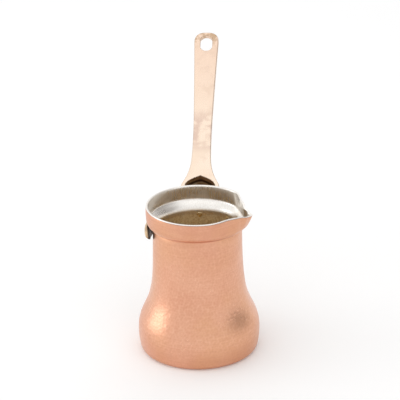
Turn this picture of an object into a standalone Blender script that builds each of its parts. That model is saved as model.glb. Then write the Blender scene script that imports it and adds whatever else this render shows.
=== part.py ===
"""Long-handled coffee pot: a copper pot with a silvered inside, and a cast brass handle.

The handle is a flat bar that forks at its root into a saddle with two arms. The arms reach
round the neck below the collar. A rivet in each arm and a stud at the back hold them to
it, with a spacer on each between the handle and the neck.

Metres, +Z up. The origin is the middle of the base. The handle runs back along +Y, and the
spout is on the +X side. Angles round the pot count from +X towards +Y.
"""
import math

import bmesh
import bpy
from mathutils import Matrix, Vector

MM = 0.001

# The pot, outside
RIM_HEIGHT = 101.0 * MM
BELLY_RADIUS = 40.0 * MM
BELLY_HEIGHT = 12.5 * MM        # where the belly is widest
BELL_SPREAD = 20.3 * MM         # from there up to halfway between belly and neck
BELL_POWER = 3.0                # how quickly the bell turns into the neck
NECK_RADIUS = 28.75 * MM        # what the bell narrows towards
FOOT_TAPER = 0.9 * MM           # how far the foot draws in under the belly
FOOT_ROUND = 4.0 * MM
GROOVE_RADIUS = NECK_RADIUS - 0.35 * MM
GROOVE_FADE = 4.0 * MM          # height of the neck that draws in to the groove
COLLAR_RADIUS = NECK_RADIUS + 4.3 * MM
COLLAR_SWELL = 0.2 * MM         # how far the collar bows out at mid height
COLLAR_DEPTH = 14.0 * MM        # from the rim down to the groove
COLLAR_TURN = 5.6 * MM          # height of the collar's rounded lower edge

# Its walls
COPPER_WALL = 0.8 * MM
LINING_WALL = 0.4 * MM
LIP_HEIGHT = 0.5 * MM           # of the lining, where it covers the copper's top edge
SKIN_GAP = 0.2 * MM             # between copper and lining

# The spout, pulled out of the collar
SPOUT_ANGLE = -12.0
SPOUT_DIP = 3.6 * MM            # how far the lip hangs below the rim
SPOUT_DIP_WIDTH = 17.0          # degrees
SPOUT_FADE = 1.2                # how quickly the pull fades down the collar
PINCH_FOOT_SHARE = 0.5          # share of the pinch beside it that is left at the collar's foot
SPOUT_EDGE = (                  # degrees from the lip, and how far the rim stands out there
    (-62.0, 0.0), (-38.0, -1.2 * MM), (-20.0, 0.6 * MM), (-9.0, 2.7 * MM), (0.0, 4.0 * MM),
    (6.0, 1.3 * MM), (14.0, -1.9 * MM), (30.0, -2.8 * MM), (56.0, 0.0),
)

# The handle's bar
BAR_LENGTH = 130.5 * MM
BAR_RISE = 32.0                 # degrees above level
BAR_START_GAP = 4.95 * MM       # from the collar back to where the length is counted
BAR_START_DROP = 1.5 * MM       # its top there, below the rim
BAR_WAIST_WIDTH = 12.4 * MM
BAR_WAIST_PLACE = 43.0 * MM
BAR_TIP_WIDTH = 17.0 * MM
BAR_END_ROUND = 8.9 * MM        # length of the rounded end
BAR_TIP_THICKNESS = 3.2 * MM
BAR_ROOT_THICKNESS = 6.4 * MM
BAR_BEVEL = 0.7 * MM
ROOT_WIDTH = 26.5 * MM
ROOT_FADE = 10.6 * MM           # how quickly the root narrows to the waist
ROOT_OVERRUN = 4.0 * MM         # bar in front of its start, trimmed to clear the collar

# The hole that it hangs by
HOLE_WIDTH = 8.4 * MM
HOLE_LENGTH = 13.6 * MM
HOLE_MARGIN = 3.0 * MM          # metal left at the bar's end

# The arched crotch between the fork's two prongs
CROTCH_WIDTH = 19.6 * MM
CROTCH_LENGTH = 7.5 * MM
CROTCH_DEPTH = 6.5 * MM
PRONG_START = -0.7 * MM         # along the bar, where the crotch is as wide as above

# The saddle and its arms
ARM_REACH_LEFT = 105.0          # degrees from the handle's plane
ARM_REACH_RIGHT = 56.0
ARM_TOP_DROP = COLLAR_DEPTH - 0.2 * MM
ARM_HEIGHT = 10.5 * MM
ARM_THICKNESS = 2.8 * MM
ARM_LEAN = 1.0 * MM             # top edge out, bottom edge in
ARM_STANDOFF = 2.6 * MM         # from the neck to the arm's inner face
ARM_TIP_LENGTH = 22.0           # degrees over which a tip narrows
ARM_TIP_SHARE = 0.12            # share of the arm's height that is left at the very end
SADDLE_RISE = 11.6 * MM         # how far the saddle stands above the arms
SADDLE_HALF_WIDTH = 27.0        # degrees
SADDLE_SWELL = 1.8 * MM
POT_CLEARANCE = 0.5 * MM        # kept between the handle and the pot's neck and collar
GUSSET_REACH = 22.0 * MM        # back from the collar
GUSSET_DRAFT = 0.8              # its width at the bottom, as a share of its width at the bar
GUSSET_FOOT = 2.0 * MM          # how far its foot stays above the arms' lower edge
GUSSET_SINK = 0.8               # share of the bar's thickness that its far end sinks into

# Rivets and spacers
RIVET_TURN_LEFT = 68.0          # degrees from the handle's plane
RIVET_TURN_RIGHT = -43.0
RIVET_DROP = COLLAR_DEPTH + 5.0 * MM
RIVET_RADIUS = 1.3 * MM
RIVET_HEAD_RADIUS = 2.7 * MM
RIVET_HEAD_HEIGHT = 1.2 * MM
RIVET_INNER_RADIUS = 1.8 * MM
RIVET_INNER_HEIGHT = 0.3 * MM
RIVET_CLEARANCE = 0.12 * MM
STUD_DEPTH = 4.0 * MM           # how deep the back stud sits in the saddle
SPACER_RADIUS = 3.0 * MM
TOUCH_GAP = 0.1 * MM            # between faces that bear on each other

ROUND_STEPS = 60
BACK = 90.0                     # the handle's angle


def material(name, colour, metallic, roughness):
    """Return a Principled material."""
    made = bpy.data.materials.new(name)
    made.use_nodes = True
    shader = made.node_tree.nodes["Principled BSDF"]
    shader.inputs["Base Color"].default_value = (*colour, 1.0)
    shader.inputs["Metallic"].default_value = metallic
    shader.inputs["Roughness"].default_value = roughness
    return made


def add_object(name, bm, finish=None):
    """Turn a bmesh into a smooth-shaded object and put it in the scene."""
    bmesh.ops.recalc_face_normals(bm, faces=bm.faces)
    mesh = bpy.data.meshes.new(name)
    bm.to_mesh(mesh)
    bm.free()
    mesh.shade_smooth()
    mesh.set_sharp_from_angle(angle=math.radians(35.0))
    made = bpy.data.objects.new(name, mesh)
    bpy.context.scene.collection.objects.link(made)
    if finish:
        mesh.materials.append(finish)
    return made


def add_tool(name, bm):
    """Make an object that only shapes another one."""
    made = add_object(name, bm)
    made.hide_render = True
    made.display_type = "WIRE"
    return made


def combine(piece, tool, operation="DIFFERENCE"):
    """Cut a tool from a piece, or join it on."""
    change = piece.modifiers.new(tool.name, "BOOLEAN")
    change.solver = "EXACT"
    change.operation = operation
    change.object = tool


def turned(outline, steps):
    """Spin an outline of (radius, height) points round Z into a closed shape."""
    bm = bmesh.new()
    points = [bm.verts.new((radius, 0.0, height)) for radius, height in outline]
    edges = [bm.edges.new(pair) for pair in zip(points, points[1:])]
    bmesh.ops.spin(bm, geom=points + edges, cent=(0, 0, 0), axis=(0, 0, 1),
                   angle=math.tau, steps=steps, use_merge=True)
    bmesh.ops.remove_doubles(bm, verts=bm.verts, dist=0.001 * MM)
    return bm


def extruded(outline, vector):
    """Extrude a flat outline of points along a vector into a closed prism."""
    bm = bmesh.new()
    face = bm.faces.new([bm.verts.new(point) for point in outline])
    grown = bmesh.ops.extrude_face_region(bm, geom=[face], use_keep_orig=True)
    moved = [item for item in grown["geom"] if isinstance(item, bmesh.types.BMVert)]
    bmesh.ops.translate(bm, verts=moved, vec=vector)
    return bm


def eased(table, place):
    """Read a table of (place, value) pairs with smooth steps between them, flat outside."""
    if place <= table[0][0]:
        return table[0][1]
    for (start, low), (end, high) in zip(table, table[1:]):
        if place <= end:
            share = (place - start) / (end - start)
            return low + (high - low) * share * share * (3.0 - 2.0 * share)
    return table[-1][1]


# ---------------------------------------------------------------- pot and lining

def bell_radius(height):
    """Radius of the pot outside, from the belly up to the groove's fade."""
    climb = max(height - BELLY_HEIGHT, 0.0) / BELL_SPREAD
    return NECK_RADIUS + (BELLY_RADIUS - NECK_RADIUS) / (1.0 + climb ** BELL_POWER)


def neck_radius(height):
    """Radius of the pot outside, below the groove, with the groove's fade."""
    groove_height = RIM_HEIGHT - COLLAR_DEPTH
    share = min(max((groove_height - height) / GROOVE_FADE, 0.0), 1.0)
    share = math.sin(share * math.pi / 2.0)
    return GROOVE_RADIUS + (bell_radius(height) - GROOVE_RADIUS) * share


def pot_outline():
    """Outer outline of the pot from the middle of its base to its rim."""
    foot_radius = BELLY_RADIUS - FOOT_TAPER
    points = [(0.0, 0.0), (foot_radius * 0.45, 0.0)]
    for step in range(4):
        angle = step / 3 * math.pi / 2.0
        points.append((foot_radius - FOOT_ROUND * (1.0 - math.sin(angle)),
                       FOOT_ROUND * (1.0 - math.cos(angle))))
    points.append((BELLY_RADIUS - FOOT_TAPER * 0.18, (FOOT_ROUND + BELLY_HEIGHT) / 2.0))
    groove_height = RIM_HEIGHT - COLLAR_DEPTH
    fade_height = groove_height - GROOVE_FADE
    for share in (0.0, 0.12, 0.2, 0.29, 0.4, 0.54, 0.74, 1.0):
        height = BELLY_HEIGHT + (fade_height - BELLY_HEIGHT) * share
        points.append((bell_radius(height), height))
    for share in (0.6, 1.0):
        height = fade_height + GROOVE_FADE * share
        points.append((neck_radius(height), height))
    for step in range(1, 5):
        angle = step / 4 * math.pi / 2.0
        points.append((GROOVE_RADIUS + (COLLAR_RADIUS - GROOVE_RADIUS) * math.sin(angle),
                       groove_height + COLLAR_TURN * (1.0 - math.cos(angle))))
    straight = COLLAR_DEPTH - COLLAR_TURN
    for share in (0.25, 0.5, 0.75, 1.0):
        swell = COLLAR_SWELL * math.sin(share * math.pi)
        points.append((COLLAR_RADIUS + swell, groove_height + COLLAR_TURN + straight * share))
    return points


def inset(outline, distance):
    """Move an outline inwards by a distance (or out, if negative), its first point on the axis."""
    moved = []
    for index, (radius, height) in enumerate(outline):
        before = outline[max(index - 1, 0)]
        after = outline[min(index + 1, len(outline) - 1)]
        run = Vector((after[0] - before[0], after[1] - before[1])).normalized()
        moved.append((max(radius - run.y * distance, 0.0), height + run.x * distance))
    return moved


def spout_shift(angle, height):
    """Return how far the spout moves the collar outwards and down at a place."""
    drop = RIM_HEIGHT - height
    if drop >= COLLAR_DEPTH:
        return 0.0, 0.0
    from_lip = (angle - SPOUT_ANGLE + 180.0) % 360.0 - 180.0
    share = max(drop, 0.0) / COLLAR_DEPTH
    dip = SPOUT_DIP * math.exp(-(from_lip / SPOUT_DIP_WIDTH) ** 2) * (1.0 - share)
    outward = eased(SPOUT_EDGE, from_lip)
    if outward > 0.0:
        return outward * (1.0 - share) ** SPOUT_FADE, dip
    fade = 1.0 - (1.0 - PINCH_FOOT_SHARE) * share - PINCH_FOOT_SHARE * share ** 8
    return outward * fade, dip


def pull_spout(bm):
    """Move the points of a turned pot wall so that its collar has the spout."""
    for vert in bm.verts:
        radius = math.hypot(vert.co.x, vert.co.y)
        if radius < GROOVE_RADIUS / 2.0:
            continue
        outward, dip = spout_shift(math.degrees(math.atan2(vert.co.y, vert.co.x)), vert.co.z)
        stretch = (radius + outward) / radius
        vert.co = Vector((vert.co.x * stretch, vert.co.y * stretch, vert.co.z - dip))


def at_height(outline, height):
    """Return an outline with its last point moved to a height, its radius kept."""
    return outline[:-1] + [(outline[-1][0], height)]


def make_pot_body(finish):
    """The copper: one wall, open at the top."""
    top = RIM_HEIGHT - LIP_HEIGHT - SKIN_GAP
    outside = at_height(pot_outline(), top)
    inside = at_height(inset(pot_outline(), COPPER_WALL), top)
    bm = turned(outside + inside[::-1], ROUND_STEPS)
    pull_spout(bm)
    return add_object("pot_body", bm, finish)


def make_silver_lining(finish):
    """The bright inner skin, with a lip over the copper's top edge."""
    outside = at_height(inset(pot_outline(), COPPER_WALL + SKIN_GAP), RIM_HEIGHT - LIP_HEIGHT)
    inside = at_height(inset(pot_outline(), COPPER_WALL + SKIN_GAP + LINING_WALL), RIM_HEIGHT)
    lip = [(COLLAR_RADIUS, RIM_HEIGHT - LIP_HEIGHT), (COLLAR_RADIUS, RIM_HEIGHT)]
    bm = turned(outside + lip + inside[::-1], ROUND_STEPS)
    pull_spout(bm)
    return add_object("silver_lining", bm, finish)


# ---------------------------------------------------------------- handle

def bar_place(across, along, above):
    """Turn a place on the bar into one on the pot: across, along and above its top face."""
    rise = math.radians(BAR_RISE)
    start = Vector((0.0, COLLAR_RADIUS + BAR_START_GAP, RIM_HEIGHT - BAR_START_DROP))
    along_axis = Vector((0.0, math.cos(rise), math.sin(rise)))
    above_axis = Vector((0.0, -math.sin(rise), math.cos(rise)))
    return start + Vector((across, 0.0, 0.0)) + along_axis * along + above_axis * above


def bar_half_width(along):
    """Half the bar's width, flared at the root and rounded at the end."""
    flare = max(along + ROOT_OVERRUN / 2.0, 0.0) / ROOT_FADE
    width = BAR_WAIST_WIDTH + (ROOT_WIDTH - BAR_WAIST_WIDTH) * math.exp(-flare ** 1.37)
    widest = BAR_LENGTH - BAR_END_ROUND
    share = min(max((along - BAR_WAIST_PLACE) / (widest - BAR_WAIST_PLACE), 0.0), 1.0)
    width += (BAR_TIP_WIDTH - BAR_WAIST_WIDTH) * share ** 1.25
    overhang = min(max((along - widest) / BAR_END_ROUND, 0.0), 1.0)
    return width / 2.0 * (1.0 - overhang ** 2.6) ** (1.0 / 2.6)


def bar_thickness(along):
    """The bar thins evenly from its root to its tip."""
    share = along / BAR_LENGTH
    return BAR_ROOT_THICKNESS + (BAR_TIP_THICKNESS - BAR_ROOT_THICKNESS) * share


def make_bar():
    """The bar, extruded from its plan outline, its underside tilted to thin it."""
    stations = [-ROOT_OVERRUN]
    stations += [step * 4.0 * MM for step in range(8)]
    stations += [BAR_WAIST_PLACE, (BAR_WAIST_PLACE + BAR_LENGTH) / 2.0]
    widest = BAR_LENGTH - BAR_END_ROUND
    stations += [widest + BAR_END_ROUND * share for share in (0.0, 0.3, 0.55, 0.75, 0.9, 0.975)]
    right = [(bar_half_width(along), along) for along in stations]
    left = [(-across, along) for across, along in reversed(right)]
    outline = right + [(0.0, BAR_LENGTH)] + left
    bm = extruded([bar_place(across, along, 0.0) for across, along in outline],
                  bar_place(0, 0, -BAR_ROOT_THICKNESS) - bar_place(0, 0, 0))
    up = (bar_place(0, 0, 1) - bar_place(0, 0, 0)).normalized()
    start = bar_place(0, 0, 0)
    for vert in bm.verts:
        if (vert.co - start).dot(up) < -BAR_ROOT_THICKNESS / 2.0:
            along = (vert.co - start).dot(bar_place(0, 1, 0) - start)
            vert.co += up * (BAR_ROOT_THICKNESS - bar_thickness(along))
    made = add_object("handle", bm)
    soften = made.modifiers.new("soft_edges", "BEVEL")
    soften.width = BAR_BEVEL
    soften.segments = 2
    soften.limit_method = "ANGLE"
    soften.angle_limit = math.radians(50.0)
    return made


def arm_middle_radius():
    """Radius of the arms' inner face at mid height."""
    return NECK_RADIUS + ARM_STANDOFF


def arm_ring(turn):
    """One section of the saddle and arms, a turn in degrees from the handle's plane."""
    reach = ARM_REACH_LEFT if turn >= 0.0 else ARM_REACH_RIGHT
    to_tip = min(max((reach - abs(turn)) / ARM_TIP_LENGTH, 0.0), 1.0)
    taper = ARM_TIP_SHARE + (1.0 - ARM_TIP_SHARE) * math.sqrt(1.0 - (1.0 - to_tip) ** 2)
    hump = 1.0 / (1.0 + (turn / SADDLE_HALF_WIDTH) ** 6)
    middle = RIM_HEIGHT - ARM_TOP_DROP - ARM_HEIGHT / 2.0
    high = middle + ARM_HEIGHT / 2.0 * taper + SADDLE_RISE * hump
    low = middle - ARM_HEIGHT / 2.0 * taper
    centre = (high + low) / 2.0
    half = (high - low) / 2.0
    angle = math.radians(BACK + turn)
    ring = []
    for step in range(7):
        tilt = math.radians(-90.0 + 30.0 * step)
        rise = half * math.sin(tilt)
        lean = ARM_LEAN * min(max((centre + rise - middle) / (ARM_HEIGHT / 2.0), -1.0), 1.5)
        radius = arm_middle_radius() + lean + (ARM_THICKNESS + SADDLE_SWELL * hump) * math.cos(tilt)
        ring.append((radius * math.cos(angle), radius * math.sin(angle), centre + rise))
    return ring


def make_saddle():
    """The saddle and both arms, swept round the neck and closed at the tips."""
    span = ARM_REACH_LEFT + ARM_REACH_RIGHT
    count = 36
    bm = bmesh.new()
    rings = [[bm.verts.new(point) for point in arm_ring(span * step / count - ARM_REACH_RIGHT)]
             for step in range(count + 1)]
    for ring, following in zip(rings, rings[1:]):
        for index, point in enumerate(ring):
            beside = (index + 1) % len(ring)
            bm.faces.new((point, ring[beside], following[beside], following[index]))
    bm.faces.new(rings[0])
    bm.faces.new(rings[-1])
    return add_tool("saddle_shape", bm)


def make_gusset():
    """The boss under the bar's flared root, down to the saddle."""
    inner = COLLAR_RADIUS
    outer = inner + GUSSET_REACH
    bottom = RIM_HEIGHT - ARM_TOP_DROP - ARM_HEIGHT + GUSSET_FOOT
    start = bar_place(0, 0, 0)
    slope = math.tan(math.radians(BAR_RISE))
    bm = bmesh.new()
    rings = []
    for step in range(9):
        reach = inner + (outer - inner) * step / 8
        level = start.z + (reach - start.y) * slope
        high = level - BAR_TIP_THICKNESS / 2.0
        rise = max(reach - arm_middle_radius() - ARM_THICKNESS, 0.0)
        rise /= outer - arm_middle_radius() - ARM_THICKNESS
        low = bottom + (level - BAR_ROOT_THICKNESS * GUSSET_SINK - bottom) * rise
        along = (reach - start.y) / math.cos(math.radians(BAR_RISE))
        half = bar_half_width(along) - BAR_BEVEL
        foot = half * GUSSET_DRAFT
        corners = ((-half, high), (half, high), (foot, low), (-foot, low))
        rings.append([bm.verts.new((across, reach, height)) for across, height in corners])
    for ring, following in zip(rings, rings[1:]):
        for index, point in enumerate(ring):
            beside = (index + 1) % len(ring)
            bm.faces.new((point, ring[beside], following[beside], following[index]))
    bm.faces.new(rings[0])
    bm.faces.new(rings[-1])
    return add_tool("gusset_shape", bm)


def make_pot_room():
    """What the handle must leave free: the pot's upper half with some clearance round it."""
    upper = [point for point in inset(pot_outline(), -POT_CLEARANCE) if point[1] > RIM_HEIGHT / 2.0]
    top = RIM_HEIGHT + COLLAR_DEPTH
    outline = [(0.0, upper[0][1])] + upper + [(upper[-1][0], top), (0.0, top)]
    return add_tool("pot_room", turned(outline, ROUND_STEPS))


def make_crotch():
    """The arched pocket between the prongs."""
    half = CROTCH_WIDTH / 2.0
    apex = PRONG_START + CROTCH_LENGTH
    right = [(half, -BAR_LENGTH / 10.0), (half, PRONG_START)]
    for share in (0.3, 0.55, 0.75, 0.9):
        right.append((half * (1.0 - share ** 2), PRONG_START + CROTCH_LENGTH * share))
    outline = right + [(0.0, apex)] + [(-across, along) for across, along in reversed(right)]
    bm = extruded([bar_place(across, along, CROTCH_DEPTH) for across, along in outline],
                  bar_place(0, 0, -CROTCH_DEPTH) - bar_place(0, 0, CROTCH_DEPTH))
    return add_tool("crotch_room", bm)


def make_hanging_hole():
    """The oval hole, square to the bar."""
    radius = HOLE_WIDTH / 2.0
    centre = BAR_LENGTH - HOLE_MARGIN - HOLE_LENGTH / 2.0
    straight = (HOLE_LENGTH - HOLE_WIDTH) / 2.0
    outline = []
    for step in range(24):
        angle = (step + 0.5) / 24 * math.tau
        shift = straight if math.sin(angle) > 0.0 else -straight
        outline.append((radius * math.cos(angle), centre + shift + radius * math.sin(angle)))
    deep = BAR_ROOT_THICKNESS * 2.0
    bm = extruded([bar_place(across, along, deep) for across, along in outline],
                  bar_place(0, 0, -deep) - bar_place(0, 0, deep))
    return add_tool("hanging_hole", bm)


def make_handle(finish, turns):
    """The one-piece brass handle."""
    handle = make_bar()
    handle.data.materials.append(finish)
    combine(handle, make_gusset(), "UNION")
    combine(handle, make_saddle(), "UNION")
    combine(handle, make_crotch())
    combine(handle, make_pot_room())
    combine(handle, make_hanging_hole())
    for name, turn in turns.items():
        end = arm_middle_radius() + (STUD_DEPTH if turn == 0.0 else ARM_HEIGHT)
        combine(handle, make_drill("handle_" + name, turn, end))
    return handle


# ---------------------------------------------------------------- rivets and spacers

def radial_place(angle):
    """Matrix that stands a shape turned about Z on the neck, its +Z pointing outwards."""
    turn = Matrix.Rotation(math.radians(angle), 4, "Z") @ Matrix.Rotation(math.pi / 2, 4, "Y")
    return Matrix.Translation((0.0, 0.0, RIM_HEIGHT - RIVET_DROP)) @ turn


def make_drill(name, turn, end):
    """A radial drill, from inside the neck out to a radius."""
    radius = RIVET_RADIUS + RIVET_CLEARANCE
    start = NECK_RADIUS / 2.0
    outline = [(0, end), (radius, end), (radius, start), (0, start)]
    tool = add_tool(name + "_drill", turned(outline, 12))
    tool.matrix_world = radial_place(BACK + turn)
    return tool


def skin_radius_range():
    """Smallest lining radius and largest neck radius that a rivet's heads and spacer meet."""
    heights = [RIM_HEIGHT - RIVET_DROP + SPACER_RADIUS * share for share in (-1.0, -0.5, 0, 0.5, 1.0)]
    radii = [neck_radius(height) for height in heights]
    return min(radii) - COPPER_WALL - SKIN_GAP - LINING_WALL, max(radii)


def arm_face_radii(turn):
    """Inner and outer radius of the arm at a rivet."""
    swell = SADDLE_SWELL / (1.0 + (turn / SADDLE_HALF_WIDTH) ** 6)
    return arm_middle_radius(), arm_middle_radius() + ARM_THICKNESS + swell


def domed_head(turn):
    """Outline of a rivet's domed head outside the arm, down to its shank."""
    _, outer = arm_face_radii(turn)
    face = outer + 2.5 * TOUCH_GAP
    points = []
    for step in range(5):
        angle = step / 4 * math.pi / 2.0
        points.append((RIVET_HEAD_RADIUS * math.sin(angle),
                       face + RIVET_HEAD_HEIGHT * math.cos(angle)))
    return points + [(RIVET_RADIUS, face)]


def stud_end():
    """Outline of the stud's blind end, which has no head."""
    end = arm_middle_radius() + STUD_DEPTH - 2.0 * TOUCH_GAP
    return [(0.0, end), (RIVET_RADIUS, end)]


def make_rivet(name, turn, outer_end, finish):
    """A rivet or stud: a flat head inside the pot, a shank, and its outer end."""
    lining, _ = skin_radius_range()
    sag = lining - math.sqrt(lining ** 2 - RIVET_INNER_RADIUS ** 2)
    face = lining - sag - TOUCH_GAP
    inner_head = [(RIVET_RADIUS, face), (RIVET_INNER_RADIUS, face),
                  (RIVET_INNER_RADIUS * 0.8, face - RIVET_INNER_HEIGHT),
                  (0.0, face - RIVET_INNER_HEIGHT)]
    made = add_object(name, turned(outer_end + inner_head, 16), finish)
    made.matrix_world = radial_place(BACK + turn)
    return made


def make_spacer(name, turn, finish):
    """A drilled disc that fills the space between neck and arm round a rivet."""
    _, neck = skin_radius_range()
    inner, _ = arm_face_radii(turn)
    sag = inner - math.sqrt(inner ** 2 - SPACER_RADIUS ** 2)
    lean = ARM_LEAN * SPACER_RADIUS / (ARM_HEIGHT / 2.0)
    low = neck + TOUCH_GAP
    high = inner - sag - lean - TOUCH_GAP
    bore = RIVET_RADIUS + RIVET_CLEARANCE
    points = [(bore, high), (SPACER_RADIUS, high), (SPACER_RADIUS, low), (bore, low), (bore, high)]
    made = add_object(name, turned(points, 20), finish)
    made.matrix_world = radial_place(BACK + turn)
    return made


def build():
    """Make every piece."""
    for old in list(bpy.data.objects):
        bpy.data.objects.remove(old, do_unlink=True)
    copper = material("copper", (0.86, 0.48, 0.36), 1.0, 0.32)
    silver = material("silver", (0.80, 0.79, 0.75), 1.0, 0.22)
    brass = material("polished_brass", (0.90, 0.70, 0.50), 1.0, 0.22)
    turns = {"left": RIVET_TURN_LEFT, "back": 0.0, "right": RIVET_TURN_RIGHT}
    body = make_pot_body(copper)
    lining = make_silver_lining(silver)
    for name, turn in turns.items():
        drill = make_drill("pot_" + name, turn, arm_middle_radius())
        combine(body, drill)
        combine(lining, drill)
    make_handle(brass, turns)
    make_rivet("rivet_left", turns["left"], domed_head(turns["left"]), copper)
    make_rivet("rivet_right", turns["right"], domed_head(turns["right"]), copper)
    make_rivet("stud_back", turns["back"], stud_end(), copper)
    for name, turn in turns.items():
        make_spacer("spacer_" + name, turn, copper)


build()
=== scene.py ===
"""Long-handled coffee pot: hammered copper, silvered inside, on a cast brass handle.

Metres, +Z up, the middle of the base at the origin. The handle runs back along +Y and the
spout is on the +X side.
"""
import math

import bpy
import numpy as np
from mathutils import Matrix, Vector
from mathutils.bvhtree import BVHTree


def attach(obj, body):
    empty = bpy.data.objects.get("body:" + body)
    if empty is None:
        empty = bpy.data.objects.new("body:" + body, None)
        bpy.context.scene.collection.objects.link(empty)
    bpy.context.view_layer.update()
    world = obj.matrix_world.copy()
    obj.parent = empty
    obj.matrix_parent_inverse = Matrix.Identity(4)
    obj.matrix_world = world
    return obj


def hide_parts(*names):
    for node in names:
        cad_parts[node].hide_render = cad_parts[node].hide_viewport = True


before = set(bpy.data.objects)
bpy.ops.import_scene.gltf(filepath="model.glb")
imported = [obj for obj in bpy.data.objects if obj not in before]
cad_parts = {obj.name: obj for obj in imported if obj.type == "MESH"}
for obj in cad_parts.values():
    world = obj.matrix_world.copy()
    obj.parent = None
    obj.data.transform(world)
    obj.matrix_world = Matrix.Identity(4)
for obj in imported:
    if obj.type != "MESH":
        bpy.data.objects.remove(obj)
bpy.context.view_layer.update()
scene = bpy.context.scene
MM = 0.001


# ---------------------------------------------------------------- camera, table and light
# A white table in a white room, with one dim doorway high on the right. A wide soft light
# hangs overhead, and a smaller one stands on the left, which puts the bright patch on that
# side of the belly.

POT_TURN = math.radians(3.5)            # the pot stands turned this far from the camera's line
CAMERA_TILT = math.radians(23.39)       # looking down
CAMERA_ROLL = math.radians(-1.05)
CAMERA_DISTANCE = 1.2
CAMERA_AIM = Vector((0.0021, 0.0001, 0.1042))
LIGHTS_AIM = Vector((0.0, 0.0, 0.06))
DOORWAY = Vector((0.84, 0.15, 0.54))    # the way to it from the pot

bpy.ops.object.select_all(action="DESELECT")
bpy.ops.object.camera_add()
camera = bpy.context.object
camera.name = "camera"
camera.data.lens = 167.5
camera.data.sensor_width = 36.0
camera.data.clip_end = 20.0
facing = (Matrix.Rotation(POT_TURN, 4, "Z") @ Matrix.Rotation(math.pi / 2 - CAMERA_TILT, 4, "X"))
camera.matrix_world = (Matrix.Translation(CAMERA_AIM + facing @ Vector((0, 0, CAMERA_DISTANCE)))
                       @ facing @ Matrix.Rotation(CAMERA_ROLL, 4, "Z"))
scene.camera = camera
scene.view_settings.view_transform = "Standard"

bpy.ops.mesh.primitive_plane_add(size=6.0)
table_top = bpy.context.object
table_top.name = "table_top"


class Socket:
    """One output of a shader node. Arithmetic on it adds Math nodes to its material."""

    def __init__(self, tree, output):
        self.tree = tree
        self.output = output

    def node(self, kind, settings=None, inputs=None, output=0):
        """Add a node: its settings first, then the values or links of its sockets."""
        made = self.tree.nodes.new("ShaderNode" + kind)
        for name, value in (settings or {}).items():
            if name == "stops":
                stops = made.color_ramp.elements
                while len(stops) < len(value):
                    stops.new(0.5)
                for stop, (place, colour) in zip(stops, value):
                    stop.position = place
                    stop.color = (*colour, 1.0)
            else:
                setattr(made, name, value)
        for name, value in (inputs or {}).items():
            if isinstance(value, Socket):
                self.tree.links.new(value.output, made.inputs[name])
            else:
                made.inputs[name].default_value = value
        return Socket(self.tree, made.outputs[output])

    def math(self, operation, *values):
        """Add a Math node on numbers or sockets."""
        return self.node("Math", {"operation": operation}, dict(enumerate(values)))

    def __add__(self, other):
        return self.math("ADD", self, other)

    def __radd__(self, other):
        return self.math("ADD", other, self)

    def __sub__(self, other):
        return self.math("SUBTRACT", self, other)

    def __rsub__(self, other):
        return self.math("SUBTRACT", other, self)

    def __mul__(self, other):
        return self.math("MULTIPLY", self, other)

    def __rmul__(self, other):
        return self.math("MULTIPLY", other, self)

    def step(self, low, high):
        """0 below low, 1 above high, and smooth between."""
        return self.node("MapRange", {"interpolation_type": "SMOOTHSTEP"},
                         {"Value": self, "From Min": low, "From Max": high})

    def blend(self, first, second):
        """Mix two colours, the second one where this is 1."""
        return self.node("Mix", {"data_type": "RGBA"}, {0: self, 6: first, 7: second}, output=2)


def new_finish(name, **constants):
    """Start a material. Returns it, its Object coordinates and its Principled node."""
    finish = bpy.data.materials.new(name)
    finish.use_nodes = True
    shader = finish.node_tree.nodes["Principled BSDF"]
    for socket, value in constants.items():
        shader.inputs[socket.replace("_", " ")].default_value = value
    place = Socket(finish.node_tree, None).node("TexCoord", output=3)
    return finish, place, shader


def feed(shader, socket, value):
    """Link a value to one of the shader's sockets."""
    value.tree.links.new(value.output, shader.inputs[socket])


def stretched(place, x, y, z):
    """Scale the coordinates of a pattern."""
    return place.node("Mapping", None, {"Vector": place, "Scale": (x, y, z)})


def noise(place, scale, detail=2.0, roughness=0.5):
    """Soft noise of about the given number of spots to the metre."""
    return place.node("TexNoise", None, {"Vector": place, "Scale": scale, "Detail": detail,
                                         "Roughness": roughness})


table_finish, place, shader = new_finish("table_white", Roughness=0.9)
shader.inputs["Specular IOR Level"].default_value = 0.1
shader.inputs["Emission Color"].default_value = (1.0, 1.0, 1.0, 1.0)
shader.inputs["Emission Strength"].default_value = 0.085
feed(shader, "Base Color", noise(place, 9.0).blend((0.93, 0.93, 0.93, 1), (0.95, 0.95, 0.95, 1)))
table_top.data.materials.append(table_finish)

room = bpy.data.worlds.new("white_room")
room.use_nodes = True
scene.world = room
sky = Socket(room.node_tree, None).node("TexCoord", output=0)
doorway = sky.node("VectorMath", {"operation": "DOT_PRODUCT"},
                   {0: sky, 1: DOORWAY.normalized()}, output=1)
daylight = doorway.step(0.76, 0.98).blend((1.0, 1.0, 1.0, 1), (0.36, 0.34, 0.33, 1))
room.node_tree.links.new(daylight.output, room.node_tree.nodes["Background"].inputs["Color"])
room.node_tree.nodes["Background"].inputs["Strength"].default_value = 1.0

for name, power, size, spot in (("overhead_light", 1.5, 1.5, (0.1, 0.2, 1.5)),
                                ("left_light", 2.2, 0.75, (-1.16, -0.04, 0.34))):
    bpy.ops.object.light_add(type="AREA", location=spot)
    lamp = bpy.context.object
    lamp.name = name
    lamp.data.color = (0.96, 0.985, 1.0)
    lamp.data.energy = power
    lamp.data.size = size
    lamp.rotation_euler = (Vector(spot) - LIGHTS_AIM).to_track_quat("Z", "Y").to_euler()


# ---------------------------------------------------------------- copper pot
# The pot is raised from one sheet of copper. It is hammered all over in rings of small round
# marks, up to a groove; the collar above it is planished smooth, with the spout pulled out.

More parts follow.
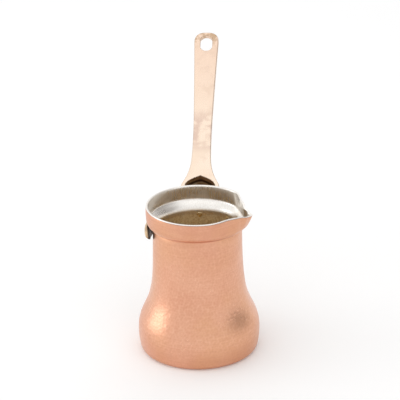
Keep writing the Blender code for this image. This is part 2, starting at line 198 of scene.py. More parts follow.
RIM_HEIGHT = 101.0 * MM
BELLY_RADIUS = 40.0 * MM
BELLY_HEIGHT = 12.5 * MM
BELL_SPREAD = 20.3 * MM
NECK_RADIUS = 28.75 * MM
FOOT_RADIUS = BELLY_RADIUS - 0.9 * MM
FOOT_ROUND = 4.0 * MM
GROOVE_RADIUS = NECK_RADIUS - 0.35 * MM
COLLAR_DEPTH = 14.0 * MM
GROOVE_HEIGHT = RIM_HEIGHT - COLLAR_DEPTH
GROOVE_FADE = 4.0 * MM
COLLAR_RADIUS = NECK_RADIUS + 4.3 * MM
COLLAR_TURN = 5.6 * MM
COLLAR_SWELL = 0.2 * MM
COPPER_WALL = 0.8 * MM
LINING_WALL = 0.4 * MM
SKIN_GAP = 0.2 * MM
LIP_HEIGHT = 0.5 * MM
SPOUT_ANGLE = -12.0
SPOUT_DIP = 3.6 * MM            # how far the lip hangs below the rim
SPOUT_DIP_WIDTH = 17.0          # degrees
SPOUT_FADE = 1.2                # how quickly the pull fades down the collar
PINCH_FOOT_SHARE = 0.5          # share of the pinch that is left at the collar's foot
SPOUT_EDGE = (                  # degrees from the lip, and how far the rim stands out there
    (-62.0, 0.0), (-38.0, -1.2 * MM), (-20.0, 0.6 * MM), (-9.0, 2.7 * MM), (0.0, 4.0 * MM),
    (6.0, 1.3 * MM), (14.0, -1.9 * MM), (30.0, -2.8 * MM), (56.0, 0.0),
)
MARK_SIZE = 1.9 * MM            # of one hammer mark
MARK_DEPTH = 0.12 * MM
RING_SHARE = 0.86               # height of a ring of marks, as a share of a mark
MARK_EDGE = 1.4                 # the number that stands for the ground between marks


def pot_radius(height):
    """Radius of the pot outside, from its belly to the groove."""
    climb = max(height - BELLY_HEIGHT, 0.0) / BELL_SPREAD
    bell = NECK_RADIUS + (BELLY_RADIUS - NECK_RADIUS) / (1.0 + climb ** 3)
    share = min(max((GROOVE_HEIGHT - height) / GROOVE_FADE, 0.0), 1.0)
    return GROOVE_RADIUS + (bell - GROOVE_RADIUS) * math.sin(share * math.pi / 2.0)


def pot_outline(spacing):
    """Outline of the pot outside, from the middle of its base to its rim."""
    points = [(FOOT_RADIUS * share, 0.0) for share in (0.0, 0.2, 0.4, 0.6, 0.75, 0.85)]
    count = max(round(6.3 * MM / spacing), 5)
    for step in range(count + 1):
        angle = step / count * math.pi / 2.0
        points.append((FOOT_RADIUS - FOOT_ROUND * (1.0 - math.sin(angle)),
                       FOOT_ROUND * (1.0 - math.cos(angle))))
    rise = BELLY_HEIGHT - FOOT_ROUND
    count = max(round(rise / spacing), 4)
    for step in range(1, count):
        share = step / count
        bulge = math.sin(share * math.pi / 2.0) ** 0.8
        points.append((FOOT_RADIUS + (BELLY_RADIUS - FOOT_RADIUS) * bulge,
                       FOOT_ROUND + rise * share))
    count = max(round((GROOVE_HEIGHT - BELLY_HEIGHT) * 1.06 / spacing), 20)
    for step in range(count + 1):
        height = BELLY_HEIGHT + (GROOVE_HEIGHT - BELLY_HEIGHT) * step / count
        points.append((pot_radius(height), height))
    count = max(round(7.5 * MM / spacing), 7)
    for step in range(1, count + 1):
        angle = step / count * math.pi / 2.0
        points.append((GROOVE_RADIUS + (COLLAR_RADIUS - GROOVE_RADIUS) * math.sin(angle),
                       GROOVE_HEIGHT + COLLAR_TURN * (1.0 - math.cos(angle))))
    straight = COLLAR_DEPTH - COLLAR_TURN
    count = max(round(straight / spacing * 0.6), 4)
    for step in range(1, count + 1):
        swell = COLLAR_SWELL * math.sin(step / count * math.pi)
        points.append((COLLAR_RADIUS + swell,
                       GROOVE_HEIGHT + COLLAR_TURN + straight * step / count))
    return points


def inset(outline, distance, top):
    """Move an outline inwards by a distance, its end at a height."""
    moved = []
    for index, (radius, height) in enumerate(outline):
        before = outline[max(index - 1, 0)]
        after = outline[min(index + 1, len(outline) - 1)]
        run = Vector((after[0] - before[0], after[1] - before[1])).normalized()
        moved.append((max(radius - run.y * distance, 0.0), height + run.x * distance))
    return moved[:-1] + [(moved[-1][0], top)]


def spin_outline(name, outline, steps):
    """Spin a closed outline of (radius, height) points round Z, as on a lathe."""
    bpy.ops.object.select_all(action="DESELECT")
    bpy.ops.mesh.primitive_circle_add(vertices=len(outline), fill_type="NOTHING")
    turned = bpy.context.object
    turned.name = name
    for vert, (radius, height) in zip(turned.data.vertices, outline):
        vert.co = (radius, 0.0, height)
    bpy.ops.object.mode_set(mode="EDIT")
    bpy.ops.mesh.select_all(action="SELECT")
    bpy.ops.mesh.spin(steps=steps, angle=math.tau, center=(0, 0, 0), axis=(0, 0, 1))
    bpy.ops.mesh.select_all(action="SELECT")
    bpy.ops.mesh.remove_doubles(threshold=0.001 * MM)
    bpy.ops.mesh.dissolve_degenerate(threshold=0.001 * MM)
    bpy.ops.mesh.delete_loose()
    bpy.ops.mesh.select_all(action="SELECT")
    bpy.ops.mesh.normals_make_consistent(inside=False)
    bpy.ops.object.mode_set(mode="OBJECT")
    bpy.ops.object.shade_smooth_by_angle(angle=math.radians(40.0))
    return turned


def get_points(piece):
    """The places of a mesh's points, as an array of rows."""
    points = np.empty(len(piece.data.vertices) * 3)
    piece.data.vertices.foreach_get("co", points)
    return points.reshape(-1, 3)


def set_points(piece, points):
    """Move a mesh's points to new places."""
    piece.data.vertices.foreach_set("co", points.ravel())
    piece.data.update()


def pull_spout(piece):
    """Pull the spout out of a turned wall: the pinched sides, the lip and its dip."""
    points = get_points(piece)
    radius = np.hypot(points[:, 0], points[:, 1])
    angle = np.degrees(np.arctan2(points[:, 1], points[:, 0]))
    from_lip = (angle - SPOUT_ANGLE + 180.0) % 360.0 - 180.0
    outward = np.full(len(points), SPOUT_EDGE[0][1])
    for (start, low), (end, high) in zip(SPOUT_EDGE, SPOUT_EDGE[1:]):
        share = np.clip((from_lip - start) / (end - start), 0.0, 1.0)
        outward += (high - low) * share * share * (3.0 - 2.0 * share)
    drop = np.clip((RIM_HEIGHT - points[:, 2]) / COLLAR_DEPTH, 0.0, 1.0)
    outward *= np.where(
        outward > 0.0, (1.0 - drop) ** SPOUT_FADE,
        1.0 - (1.0 - PINCH_FOOT_SHARE) * drop - PINCH_FOOT_SHARE * drop ** 8)
    dip = SPOUT_DIP * np.exp(-(from_lip / SPOUT_DIP_WIDTH) ** 2) * (1.0 - drop)
    stretch = 1.0 + outward / np.maximum(radius, NECK_RADIUS / 2.0)
    points[:, 0] *= stretch
    points[:, 1] *= stretch
    points[:, 2] -= dip
    set_points(piece, points)


def scatter(row, column, seed):
    """A number from 0 to 1 that looks random, the same for the same mark every time."""
    wave = np.sin(row * 127.1 + column * 311.7 + seed * 74.7) * 43758.5453
    return wave - np.floor(wave)


def hammer_marks(angle, length, radius):
    """Depth over a surface of hammer marks in rings: 0 in the middle of a mark, 1 at its edge."""
    nearest = np.full(len(angle), 9.0)
    ring_here = np.floor(length / (MARK_SIZE * RING_SHARE))
    for ring_step in (-1, 0, 1):
        ring = ring_here + ring_step
        middle = (ring + 0.5) * MARK_SIZE * RING_SHARE
        count = np.round(math.tau * np.interp(middle, RING_LENGTHS, RING_RADII) / MARK_SIZE)
        turn = angle / math.tau * count + scatter(ring, 0.0, 5.0)
        for column_step in (-1, 0, 1):
            column = np.floor(turn) + column_step
            known = np.mod(column, count)
            across = column + 0.5 + 0.55 * (scatter(ring, known, 1.0) - 0.5) - turn
            across *= math.tau / count * radius
            along = middle + 0.5 * MARK_SIZE * (scatter(ring, known, 2.0) - 0.5) - length
            distance = (across ** 2 + along ** 2) / (MARK_SIZE * 0.62) ** 2
            distance += 0.35 * scatter(ring, known, 3.0)
            nearest = np.minimum(nearest, distance)
    return np.clip(nearest, 0.0, MARK_EDGE)


def inside_outline(offset, top):
    """Outline of the silvered face, moved out by an offset: floor, neck, step and collar."""
    whole = COPPER_WALL + SKIN_GAP + LINING_WALL
    path = [point for point in inset(pot_outline(1.5 * MM), whole, 0.0)
            if 0.0 < point[1] < GROOVE_HEIGHT - 3.5 * MM]
    path += [(radius * MM, height * MM) for radius, height in (
        (27.02, 84.4), (27.06, 85.1), (27.22, 85.9), (27.52, 86.7), (27.95, 87.5), (28.6, 88.3),
        (29.5, 89.15), (30.4, 89.9), (31.0, 90.4), (31.4, 90.85), (31.6, 91.4), (31.65, 92.1),
        (31.68, 94.5), (31.7, 97.5))]
    return inset(path + [(31.65 * MM, top)], -offset, top)


outer = pot_outline(0.52 * MM)
copper_top = RIM_HEIGHT - LIP_HEIGHT - SKIN_GAP
outside = outer[:-1] + [(outer[-1][0], copper_top)]
pot = spin_outline("copper_pot", outside + inside_outline(0.42 * MM, copper_top)[::-1], 380)
RING_RADII = np.array([point[0] for point in outer])
steps = np.diff(np.array(outer), axis=0)
RING_LENGTHS = np.concatenate(([0.0], np.cumsum(np.hypot(steps[:, 0], steps[:, 1]))))

points = get_points(pot)
radius = np.hypot(points[:, 0], points[:, 1])
angle = np.arctan2(points[:, 1], points[:, 0])
heights = np.array([point[1] for point in outer])
length = np.interp(points[:, 2], heights + np.arange(len(outer)) * 1e-9, RING_LENGTHS)
on_outside = radius > np.interp(points[:, 2], heights, RING_RADII) - 0.3 * MM
relief = hammer_marks(angle, length, radius)
strength = np.interp(
    points[:, 2], (0.0, 3 * MM, 9 * MM, 17 * MM, 60 * MM, 82 * MM, 86 * MM, 87 * MM),
    (0.0, 0.12, 0.3, 1.0, 0.8, 0.65, 0.2, 0.0))
strength = np.where(on_outside, strength, 0.0)
unevenness = (np.sin(angle * 7 + points[:, 2] * 160) + np.sin(angle * 11 - points[:, 2] * 230)
              + np.sin(angle * 5 + points[:, 2] * 410)) * 0.018 * MM
outward = strength * (MARK_DEPTH * (relief - 0.7) + unevenness)
points[:, 0] *= 1.0 + outward / np.maximum(radius, 1 * MM)
points[:, 1] *= 1.0 + outward / np.maximum(radius, 1 * MM)
set_points(pot, points)
marks = pot.data.attributes.new("hammer_marks", "FLOAT", "POINT")
marks.data.foreach_set("value", np.clip(relief / MARK_EDGE, 0.0, 1.0) * strength)
pull_spout(pot)

copper, place, shader = new_finish("hammered_copper", Metallic=1.0, Coat_Weight=0.25,
                                   Coat_Roughness=0.3)
relief = place.node("Attribute", {"attribute_name": "hammer_marks"}, None, output=2)
cloud = noise(place, 45.0, 3.0).step(0.35, 0.7)
grain = noise(place, 900.0, 2.0).step(0.3, 0.75)
lathe_lines = noise(stretched(place, 50.0, 50.0, 1000.0), 1.0, 3.0).step(0.38, 0.66)
golden = noise(place, 24.0, 3.0).step(0.42, 0.6)
colour = cloud.blend((0.775, 0.405, 0.265, 1), (0.715, 0.345, 0.22, 1))
colour = (golden * 0.65).blend(colour, (0.745, 0.395, 0.215, 1))
colour = (lathe_lines * 0.3).blend(colour, (0.63, 0.29, 0.175, 1))
colour = (grain * 0.45).blend(colour, (0.66, 0.31, 0.19, 1))
# Painted highlight: the ground between the hammer marks is painted a lighter copper, standing in for
# the light that the marks' raised edges catch.
colour = (relief * 0.6).blend(colour, (0.88, 0.51, 0.345, 1))
feed(shader, "Base Color", colour)
feed(shader, "Roughness", 0.29 + 0.1 * cloud + 0.06 * grain - 0.06 * relief)
bumps = place.node("Bump", None, {"Strength": 0.12, "Distance": 0.00012,
                                  "Height": lathe_lines * 0.5 + grain * 0.5})
feed(shader, "Normal", bumps)
pot.data.materials.append(copper)
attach(pot, "root")
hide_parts("pot_body")


# ---------------------------------------------------------------- silver lining
# The inside is silvered and turned over the copper's top edge as a narrow white lip. It is
# burnished bright on the step under the collar, and has dulled to olive lower down.

lip = [(COLLAR_RADIUS, RIM_HEIGHT - LIP_HEIGHT), (COLLAR_RADIUS + 0.06 * MM, RIM_HEIGHT - 0.3 * MM),
       (COLLAR_RADIUS - 0.06 * MM, RIM_HEIGHT - 0.08 * MM), (COLLAR_RADIUS - 0.3 * MM, RIM_HEIGHT),
       (COLLAR_RADIUS - 0.8 * MM, RIM_HEIGHT), (COLLAR_RADIUS - 1.15 * MM, RIM_HEIGHT - 0.12 * MM),
       (COLLAR_RADIUS - 1.35 * MM, RIM_HEIGHT - 0.45 * MM)]
lining = spin_outline("silvered_inside", inside_outline(0.32 * MM, RIM_HEIGHT - LIP_HEIGHT) + lip
                      + inside_outline(0.0, RIM_HEIGHT - 0.9 * MM)[::-1], 380)
pull_spout(lining)

silver, place, shader = new_finish("silvering", Metallic=1.0)
height = place.node("SeparateXYZ", None, {0: place}, output=2)
cloud = noise(place, 60.0, 3.0).step(0.35, 0.7)
specks = noise(place, 760.0, 4.0, 0.7).step(0.36, 0.66)
brushed = noise(stretched(place, 1500.0, 1500.0, 30.0), 1.0, 2.0).step(0.3, 0.75)
deep = 1.0 - height.step(80 * MM, 87 * MM)
colour = brushed.blend((0.94, 0.91, 0.87, 1), (0.84, 0.80, 0.75, 1))
colour = (deep * 0.9).blend(colour, (0.97, 0.79, 0.47, 1))
colour = (deep * specks * 0.8).blend(colour, (0.66, 0.46, 0.21, 1))
feed(shader, "Base Color", colour)
feed(shader, "Roughness", 0.24 + 0.09 * cloud + 0.05 * brushed + 0.1 * deep)
feed(shader, "Metallic", 1.0 - 0.3 * deep)
bumps = place.node("Bump", None, {"Strength": 0.1, "Distance": 0.0001, "Height": brushed})
feed(shader, "Normal", bumps)
lining.data.materials.append(silver)
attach(lining, "root")
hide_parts("silver_lining")


# ---------------------------------------------------------------- handle
# One brass casting, fettled and polished. The flat bar flares at its root into two prongs with
# an arched crotch between them. A boss under them joins a saddle, whose two arms reach round
# the neck under the collar.

BAR_LENGTH = 130.5 * MM
BAR_RISE = math.radians(32.0)
BAR_WAIST_WIDTH = 12.4 * MM
BAR_WAIST_PLACE = 43.0 * MM
BAR_TIP_WIDTH = 17.0 * MM
BAR_END_ROUND = 8.9 * MM
BAR_ROOT_THICKNESS = 6.4 * MM
BAR_TIP_THICKNESS = 3.2 * MM
BAR_BEVEL = 0.7 * MM
ROOT_WIDTH = 26.5 * MM
ROOT_FADE = 10.6 * MM
ROOT_OVERRUN = 4.0 * MM
HOLE_WIDTH = 8.4 * MM
HOLE_LENGTH = 13.6 * MM
HOLE_MARGIN = 3.0 * MM                  # metal left at the bar's end
HOLE_CENTRE = BAR_LENGTH - HOLE_MARGIN - HOLE_LENGTH / 2.0
CROTCH_HALF = 9.8 * MM
CROTCH_START = -0.7 * MM
CROTCH_LENGTH = 7.5 * MM
CROTCH_DEPTH = 6.5 * MM
ARM_REACH_LEFT = 105.0                  # degrees from the handle's plane
ARM_REACH_RIGHT = 56.0
ARM_TIP_LENGTH = 22.0                   # degrees over which a tip narrows
ARM_TIP_SHARE = 0.12                    # share of the arm's height left at the very end
ARM_TOP_DROP = 13.8 * MM
ARM_HEIGHT = 10.5 * MM
ARM_LEAN = 1.0 * MM                     # top edge out, bottom edge in
ARM_MIDDLE = RIM_HEIGHT - ARM_TOP_DROP - ARM_HEIGHT / 2.0
ARM_THICKNESS = 2.8 * MM
ARM_FACE = NECK_RADIUS + 2.6 * MM       # radius of the arms' inner face
SADDLE_RISE = 11.6 * MM
SADDLE_SWELL = 1.8 * MM
SADDLE_HALF_WIDTH = 27.0                # degrees
FLAT_SHARE = 0.3                        # share of the way round an arm that is its inner face
ROUNDED_SHARE = 1.0 - FLAT_SHARE
POT_CLEARANCE = 0.5 * MM
BOSS_REACH = 22.0 * MM                  # back from the collar
BOSS_FOOT = 2.0 * MM                    # how far its foot stays above the arms' lower edge
BOSS_SINK = 0.8                         # share of the bar's thickness its far end sinks into
BOSS_DRAFT = 0.8                        # its width at the foot, as a share of that at the bar
RIVET_HEIGHT = RIM_HEIGHT - 19.0 * MM
RIVET_RADIUS = 1.3 * MM
RIVET_CLEARANCE = 0.12 * MM
STUD_DEPTH = 4.0 * MM                   # how deep the back stud sits in the saddle
DRILL_START = 6.0 * MM                  # how far inside the arms' face a drill starts
RIVET_TURNS = {"left": 68.0, "back": 0.0, "right": -43.0}
BAR_ALONG = Vector((0.0, math.cos(BAR_RISE), math.sin(BAR_RISE)))
BAR_UP = Vector((0.0, -math.sin(BAR_RISE), math.cos(BAR_RISE)))
BAR_START = Vector((0.0, COLLAR_RADIUS + 4.95 * MM, RIM_HEIGHT - 1.5 * MM))


def bar_half_width(along):
    """Half the bar's width, flared at the root and rounded at the end."""
    flare = max(along + ROOT_OVERRUN / 2.0, 0.0) / ROOT_FADE
    width = BAR_WAIST_WIDTH + (ROOT_WIDTH - BAR_WAIST_WIDTH) * math.exp(-flare ** 1.37)
    widest = BAR_LENGTH - BAR_END_ROUND
    share = min(max((along - BAR_WAIST_PLACE) / (widest - BAR_WAIST_PLACE), 0.0), 1.0)
    width += (BAR_TIP_WIDTH - BAR_WAIST_WIDTH) * share ** 1.25
    overhang = min(max((along - widest) / BAR_END_ROUND, 0.0), 1.0)
    return width / 2.0 * (1.0 - overhang ** 2.6) ** (1.0 / 2.6)


def bar_plate(name, outline, top, bottom):
    """Extrude a plate from an outline of (across, along) points on the bar's top face."""
    bpy.ops.object.select_all(action="DESELECT")
    bpy.ops.mesh.primitive_circle_add(vertices=len(outline), fill_type="NGON")
    plate = bpy.context.object
    plate.name = name
    for vert, (across, along) in zip(plate.data.vertices, outline):
        vert.co = BAR_START + Vector((across, 0, 0)) + BAR_ALONG * along + BAR_UP * top
    bpy.ops.object.mode_set(mode="EDIT")
    bpy.ops.mesh.select_all(action="SELECT")
    bpy.ops.mesh.extrude_region_move(TRANSFORM_OT_translate={"value": BAR_UP * (bottom - top)})
    bpy.ops.mesh.select_all(action="SELECT")
    bpy.ops.mesh.normals_make_consistent(inside=False)
    bpy.ops.object.mode_set(mode="OBJECT")
    return plate


def wrapped_tube(name, lengthwise, around, place):
    """Wrap a grid into a closed tube: place(share along, share round) gives each point."""
    bpy.ops.object.select_all(action="DESELECT")
    bpy.ops.mesh.primitive_grid_add(x_subdivisions=lengthwise, y_subdivisions=around, size=1.0)
    tube = bpy.context.object
    tube.name = name
    for vert in tube.data.vertices:
        vert.co = place(vert.co.x + 0.5, vert.co.y + 0.5)
    bpy.ops.object.mode_set(mode="EDIT")
    bpy.ops.mesh.select_all(action="SELECT")
    bpy.ops.mesh.remove_doubles(threshold=0.001 * MM)
    bpy.ops.mesh.fill_holes(sides=0)
    bpy.ops.mesh.select_all(action="SELECT")
    bpy.ops.mesh.normals_make_consistent(inside=False)
    bpy.ops.object.mode_set(mode="OBJECT")
    return tube


def finish_modifier(piece, kind, **settings):
    """Add a modifier to a piece and apply it."""
    bpy.ops.object.select_all(action="DESELECT")
    bpy.context.view_layer.objects.active = piece
    piece.select_set(True)
    added = piece.modifiers.new(kind.lower(), kind)
    for setting, value in settings.items():
        setattr(added, setting, value)
    bpy.ops.object.modifier_apply(modifier=added.name)


def combine(piece, tool, operation="DIFFERENCE"):
    """Cut a tool from a piece, or join it on, and put the tool away."""
    finish_modifier(piece, "BOOLEAN", object=tool, operation=operation, solver="EXACT")
    bpy.data.objects.remove(tool, do_unlink=True)


def saddle_place(share, share_round):
    """A point on the saddle and its arms: from the right tip to the left, and round."""
    turn = (ARM_REACH_LEFT + ARM_REACH_RIGHT) * share - ARM_REACH_RIGHT
    reach = ARM_REACH_LEFT if turn >= 0.0 else ARM_REACH_RIGHT
    to_tip = min(max((reach - abs(turn)) / ARM_TIP_LENGTH, 0.0), 1.0)
    taper = ARM_TIP_SHARE + (1.0 - ARM_TIP_SHARE) * math.sqrt(1.0 - (1.0 - to_tip) ** 2)
    hump = 1.0 / (1.0 + (turn / SADDLE_HALF_WIDTH) ** 6)
    high = ARM_MIDDLE + ARM_HEIGHT / 2.0 * taper + SADDLE_RISE * hump
    low = ARM_MIDDLE - ARM_HEIGHT / 2.0 * taper
    tilt = math.pi * (min(share_round / ROUNDED_SHARE, 1.0) - 0.5)
    upward = math.sin(tilt)
    swell = (ARM_THICKNESS + SADDLE_SWELL * hump) * math.cos(tilt)
    if share_round > ROUNDED_SHARE:
        upward = 1.0 - 2.0 * (share_round - ROUNDED_SHARE) / FLAT_SHARE
        swell = 0.0
    height = (high + low) / 2.0 + (high - low) / 2.0 * upward
    lean = ARM_LEAN * min(max((height - ARM_MIDDLE) / (ARM_HEIGHT / 2.0), -1.0), 1.5)
    angle = math.radians(90.0 + turn)
    radius = ARM_FACE + lean + swell
    return Vector((radius * math.cos(angle), radius * math.sin(angle), height))


def boss_place(share, share_round):
    """A point on the boss under the bar's root: back from the collar, and round."""
    reach = COLLAR_RADIUS + BOSS_REACH * share
    level = BAR_START.z + (reach - BAR_START.y) * math.tan(BAR_RISE)
    foot = ARM_MIDDLE - ARM_HEIGHT / 2.0 + BOSS_FOOT
    rise = max(reach - ARM_FACE - ARM_THICKNESS, 0.0)
    rise /= COLLAR_RADIUS + BOSS_REACH - ARM_FACE - ARM_THICKNESS
    low = foot + (level - BAR_ROOT_THICKNESS * BOSS_SINK - foot) * rise
    half = bar_half_width((reach - BAR_START.y) / math.cos(BAR_RISE)) - BAR_BEVEL
    corner = round(share_round * 4) % 4
    across = (-half, half, half * BOSS_DRAFT, -half * BOSS_DRAFT)[corner]
    height = (level - BAR_TIP_THICKNESS / 2.0) if corner < 2 else low
    return Vector((across, reach, height))


stations = [-ROOT_OVERRUN] + [step * 1.5 * MM for step in range(29)]
stations += [(46.0 + step * 5.0) * MM for step in range(16)]
stations += [BAR_LENGTH - BAR_END_ROUND * (1.0 - math.sin(step / 12 * math.pi / 2.0))
             for step in range(12)]
right_side = [(bar_half_width(along), along) for along in stations]
outline = right_side + [(0.0, BAR_LENGTH)] + [(-across, along) for across, along in right_side[::-1]]
handle = bar_plate("cast_handle", outline, 0.0, -BAR_ROOT_THICKNESS)
for vert in handle.data.vertices:
    above = (vert.co - BAR_START).dot(BAR_UP)
    if above < -BAR_ROOT_THICKNESS / 2.0:
        along = (vert.co - BAR_START).dot(BAR_ALONG)
        vert.co += BAR_UP * (BAR_ROOT_THICKNESS - BAR_TIP_THICKNESS) * along / BAR_LENGTH
finish_modifier(handle, "BEVEL", width=BAR_BEVEL, segments=3, limit_method="ANGLE",
                angle_limit=math.radians(50.0))
combine(handle, wrapped_tube("boss", 24, 4, boss_place), "UNION")
combine(handle, wrapped_tube("saddle", 110, 20, saddle_place), "UNION")

arch = [(CROTCH_HALF, -BAR_LENGTH / 10.0), (CROTCH_HALF, CROTCH_START)]
for step in range(1, 12):
    share = step / 12
    arch.append((CROTCH_HALF * (1.0 - share ** 2), CROTCH_START + CROTCH_LENGTH * share))
arch += [(0.0, CROTCH_START + CROTCH_LENGTH)] + [(-across, along) for across, along in arch[::-1]]
combine(handle, bar_plate("crotch", arch, CROTCH_DEPTH, -CROTCH_DEPTH))

oval = []
for step in range(48):
    angle = (step + 0.5) / 48 * math.tau
    shift = math.copysign((HOLE_LENGTH - HOLE_WIDTH) / 2.0, math.sin(angle))
    oval.append((HOLE_WIDTH / 2.0 * math.cos(angle),
                 HOLE_CENTRE + shift + HOLE_WIDTH / 2.0 * math.sin(angle)))
combine(handle, bar_plate("hanging_hole", oval, 12 * MM, -12 * MM))

upper = [point for point in inset(pot_outline(1.5 * MM), -POT_CLEARANCE, RIM_HEIGHT)
         if point[1] > RIM_HEIGHT / 2.0]
above_rim = RIM_HEIGHT + COLLAR_DEPTH
combine(handle, spin_outline("pot_room", [(0.0, upper[0][1])] + upper
                             + [(upper[-1][0], above_rim), (0.0, above_rim)], 180))


def root_share(point):
    """1 where the casting's root is blended, fading to 0 up the bar and at the arms' ends."""
    depth = -(point - BAR_START).dot(BAR_UP)
    turn = abs(math.degrees(math.atan2(point.x, point.y)))
    share = min(max((depth - 0.9 * MM) / (1.6 * MM), 0.0), 1.0)
    share *= min(max((64.0 * MM - point.y) / (14.0 * MM), 0.0), 1.0)
    share *= min(max((46.0 - turn) / 12.0, 0.0), 1.0)
    outside_arm = math.hypot(point.x, point.y) - ARM_FACE - 1.2 * MM
    return share * min(max(outside_arm / (1.2 * MM), 0.0), 1.0)


fettled = BVHTree.FromPolygons([vert.co for vert in handle.data.vertices],
                               [face.vertices for face in handle.data.polygons])
finish_modifier(handle, "REMESH", mode="VOXEL", voxel_size=0.42 * MM)
blended = handle.vertex_groups.new(name="blended")
for vert in handle.data.vertices:
    weight = root_share(vert.co)
    if weight > 0.0:
        blended.add([vert.index], weight, "REPLACE")
finish_modifier(handle, "SMOOTH", factor=0.5, iterations=4)
finish_modifier(handle, "SMOOTH", factor=0.5, iterations=45, vertex_group="blended")
for vert in handle.data.vertices:
    nearest, _, _, distance = fettled.find_nearest(vert.co)
    hold = min(max((0.28 * MM - distance) / (0.14 * MM), 0.0), 1.0) * (1.0 - root_share(vert.co))
    vert.co = vert.co.lerp(nearest, hold)
for turn_name, turn in RIVET_TURNS.items():
    reach = STUD_DEPTH if turn_name == "back" else 12.0 * MM
    angle = math.radians(90.0 + turn)
    bpy.ops.object.select_all(action="DESELECT")
    middle = ARM_FACE + (reach - DRILL_START) / 2.0
    bpy.ops.mesh.primitive_cylinder_add(
        vertices=40, radius=RIVET_RADIUS + RIVET_CLEARANCE, depth=reach + DRILL_START,
        location=(middle * math.cos(angle), middle * math.sin(angle), RIVET_HEIGHT),
        rotation=(0.0, math.pi / 2.0, angle))
    combine(handle, bpy.context.object)
handle.data.materials.clear()
bpy.ops.object.shade_smooth_by_angle(angle=math.radians(50.0))


def distance_from_axis(place):
    """How far a point is from the pot's upright axis."""
    flat = place.node("VectorMath", {"operation": "MULTIPLY"}, {0: place, 1: (1.0, 1.0, 0.0)})
    return flat.node("VectorMath", {"operation": "LENGTH"}, {0: flat}, output=1)


brass, place, shader = new_finish("cast_brass", Metallic=1.0)
cloud = noise(place, 55.0, 3.0).step(0.35, 0.7)
stain = noise(place, 130.0, 3.0, 0.6).step(0.52, 0.72)
height = place.node("SeparateXYZ", None, {0: place}, output=2)
toward_tip = height.step(118 * MM, 165 * MM)
draw_lines = noise(stretched(place, 900.0, 40.0, 40.0), 1.0, 2.0).step(0.3, 0.75)
across = place.node("SeparateXYZ", None, {0: place}, output=0)
from_start = place.node("VectorMath", {"operation": "SUBTRACT"}, {0: place, 1: BAR_START})
depth = from_start.node("VectorMath", {"operation": "DOT_PRODUCT"},
                        {0: from_start, 1: -BAR_UP}, output=1)
along = from_start.node("VectorMath", {"operation": "DOT_PRODUCT"},
                        {0: from_start, 1: BAR_ALONG}, output=1)
side = across.math("ABSOLUTE", across)
share = (along - CROTCH_START) * (1.0 / CROTCH_LENGTH)
share = share.math("MAXIMUM", share, 0.0)
arch_width = CROTCH_HALF * (1.0 - share * share)
crotch = ((1.0 - (side - arch_width).step(0.1 * MM, 0.45 * MM))
          * depth.step(0.25 * MM, 0.9 * MM) * (1.0 - depth.step(6.8 * MM, 7.1 * MM)))
# The pocket's deep walls below the arch, which get painted shade.
pocket_painted_shade = crotch * depth.step(3.3 * MM, 4.6 * MM)
from_axis = distance_from_axis(place)
low_down = 1.0 - height.step(85 * MM, 93 * MM)
# The arms below the collar get painted shade: a darker golden brown.
arm = low_down * (1.0 - from_axis.step(ARM_FACE + 3.0 * MM, ARM_FACE + 13.0 * MM))
# The arms' inner face, in the gap against the neck, gets painted shade.
inner_face = low_down * (1.0 - from_axis.step(ARM_FACE + 1.0 * MM, ARM_FACE + 1.7 * MM))
# Patchy mask between two browns, used in the arch and in the painted shade of the arms and the
# pocket.
tarnish_and_painted_shade = noise(place, 190.0, 3.0, 0.6).step(0.42, 0.62)
smudge = (height.step(112 * MM, 118 * MM) * (1.0 - height.step(126 * MM, 134 * MM))
          * noise(place, 110.0, 2.0).step(0.42, 0.6))
colour = cloud.blend((0.865, 0.705, 0.575, 1), (0.835, 0.675, 0.54, 1))
colour = (toward_tip * 0.8).blend(colour, (0.79, 0.585, 0.455, 1))
colour = (stain * 0.3).blend(colour, (0.70, 0.52, 0.41, 1))
colour = (smudge * 0.75).blend(colour, (0.64, 0.46, 0.38, 1))
end_tarnish = height.step(160 * MM, 167 * MM) * noise(place, 260.0, 3.0).step(0.4, 0.6)
colour = (end_tarnish * 0.8).blend(colour, (0.48, 0.32, 0.19, 1))
colour = (crotch * 0.85).blend(colour, tarnish_and_painted_shade.blend((0.74, 0.53, 0.30, 1), (0.56, 0.38, 0.19, 1)))
# Painted shade: the arms under the collar are painted a darker golden brown.
colour = (arm * 0.75).blend(colour, tarnish_and_painted_shade.blend((0.62, 0.43, 0.24, 1), (0.44, 0.29, 0.14, 1)))
# Painted shade: the deep pocket under the arch is painted near black.
colour = (pocket_painted_shade * 0.92).blend(colour, tarnish_and_painted_shade.blend((0.10, 0.05, 0.02, 1), (0.17, 0.12, 0.07, 1)))
# Painted shade: the arms' inner face, against the neck, is painted near-black teal.
colour = (inner_face * 0.92).blend(colour, (0.05, 0.055, 0.055, 1))
feed(shader, "Base Color", colour)
feed(shader, "Roughness", 0.2 + 0.08 * cloud + 0.06 * draw_lines + 0.06 * stain
     + 0.1 * arm + 0.2 * crotch)
bumps = place.node("Bump", None, {"Strength": 0.1, "Distance": 0.0001, "Height": draw_lines})
feed(shader, "Normal", bumps)
handle.data.materials.append(brass)
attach(handle, "root")
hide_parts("handle")


# ---------------------------------------------------------------- rivets and spacers
# A copper rivet clenches each arm to the neck, and a headless stud sits in the saddle behind.
# A turned washer on each one holds the casting off the neck.

HEAD_RADIUS = 2.7 * MM
HEAD_HEIGHT = 1.2 * MM
INNER_HEAD_RADIUS = 1.8 * MM
INNER_HEAD_HEIGHT = 0.3 * MM
DENT_DEPTH = 0.05 * MM                  # of the dents in a head
WASHER_RADIUS = 3.0 * MM
WASHER_SINK = 0.82 * MM                 # a washer stops this far short of the arms' face
TOUCH_GAP = 0.1 * MM

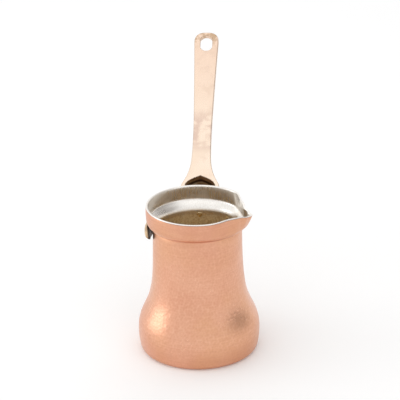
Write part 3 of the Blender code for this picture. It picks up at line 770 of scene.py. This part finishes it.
rivet_copper, place, shader = new_finish("rivet_copper", Metallic=1.0)
cloud = noise(place, 700.0, 3.0).step(0.35, 0.7)
silvered = 1.0 - distance_from_axis(place).step(NECK_RADIUS - 1.5 * MM, NECK_RADIUS - 1.1 * MM)
colour = cloud.blend((0.82, 0.47, 0.33, 1), (0.66, 0.36, 0.25, 1))
colour = silvered.blend(colour, (0.93, 0.77, 0.49, 1))
feed(shader, "Base Color", colour)
feed(shader, "Roughness", 0.25 + 0.15 * cloud)
bumps = place.node("Bump", None, {"Strength": 0.3, "Distance": 0.0002, "Height": cloud})
feed(shader, "Normal", bumps)

neck_near_rivet = max(pot_radius(RIVET_HEIGHT + WASHER_RADIUS * side) for side in (-1, 0, 1))
lining_near_rivet = (min(pot_radius(RIVET_HEIGHT + WASHER_RADIUS * side) for side in (-1, 1))
                     - COPPER_WALL - SKIN_GAP - LINING_WALL)
for turn_name, turn in RIVET_TURNS.items():
    swell = SADDLE_SWELL / (1.0 + (turn / SADDLE_HALF_WIDTH) ** 6)
    sag = lining_near_rivet - math.sqrt(lining_near_rivet ** 2 - INNER_HEAD_RADIUS ** 2)
    inner_face = lining_near_rivet - sag - TOUCH_GAP
    outline = []
    if turn_name == "back":
        end = ARM_FACE + STUD_DEPTH - 2.0 * TOUCH_GAP
        outline = [(0.0, end), (RIVET_RADIUS - 0.2 * MM, end), (RIVET_RADIUS, end - 0.2 * MM)]
    else:
        face = ARM_FACE + ARM_THICKNESS + swell + 2.5 * TOUCH_GAP
        for step in range(13):
            angle = step / 12 * math.pi / 2.0
            outline.append((HEAD_RADIUS * math.sin(angle) ** 0.9,
                            face + 0.15 * MM + (HEAD_HEIGHT - 0.15 * MM) * math.cos(angle)))
        outline += [(HEAD_RADIUS - 0.1 * MM, face), (RIVET_RADIUS, face)]
    outline += [(RIVET_RADIUS, inner_face), (INNER_HEAD_RADIUS - 0.08 * MM, inner_face),
                (INNER_HEAD_RADIUS, inner_face - 0.1 * MM)]
    for step in range(1, 6):
        angle = step / 5 * math.pi / 2.0
        outline.append((INNER_HEAD_RADIUS * math.cos(angle),
                        inner_face - 0.1 * MM
                        - (INNER_HEAD_HEIGHT - 0.1 * MM) * math.sin(angle)))
    rivet = spin_outline("rivet_copper_" + turn_name, outline, 48)
    if turn_name != "back":
        points = get_points(rivet)
        dents = (np.sin(points[:, 0] * 2600 + turn) * np.sin(points[:, 1] * 3100 + turn * 2)
                 * np.clip((points[:, 2] - ARM_FACE) / (3 * MM), 0.0, 1.0))
        points[:, 2] += DENT_DEPTH * dents
        set_points(rivet, points)
    low = neck_near_rivet + TOUCH_GAP
    high = ARM_FACE - WASHER_SINK
    bore = RIVET_RADIUS + RIVET_CLEARANCE
    washer = spin_outline("washer_" + turn_name, [
        (bore, high), (WASHER_RADIUS - 0.2 * MM, high), (WASHER_RADIUS, high - 0.2 * MM),
        (WASHER_RADIUS, low + 0.2 * MM), (WASHER_RADIUS - 0.2 * MM, low), (bore, low)], 48)
    stand = (Matrix.Translation((0.0, 0.0, RIVET_HEIGHT))
             @ Matrix.Rotation(math.radians(90.0 + turn), 4, "Z")
             @ Matrix.Rotation(math.pi / 2.0, 4, "Y"))
    node = "stud_back" if turn_name == "back" else "rivet_" + turn_name
    for piece, replaced in ((rivet, node), (washer, "spacer_" + turn_name)):
        piece.data.transform(stand)
        piece.data.materials.append(rivet_copper)
        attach(piece, "root")
        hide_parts(replaced)
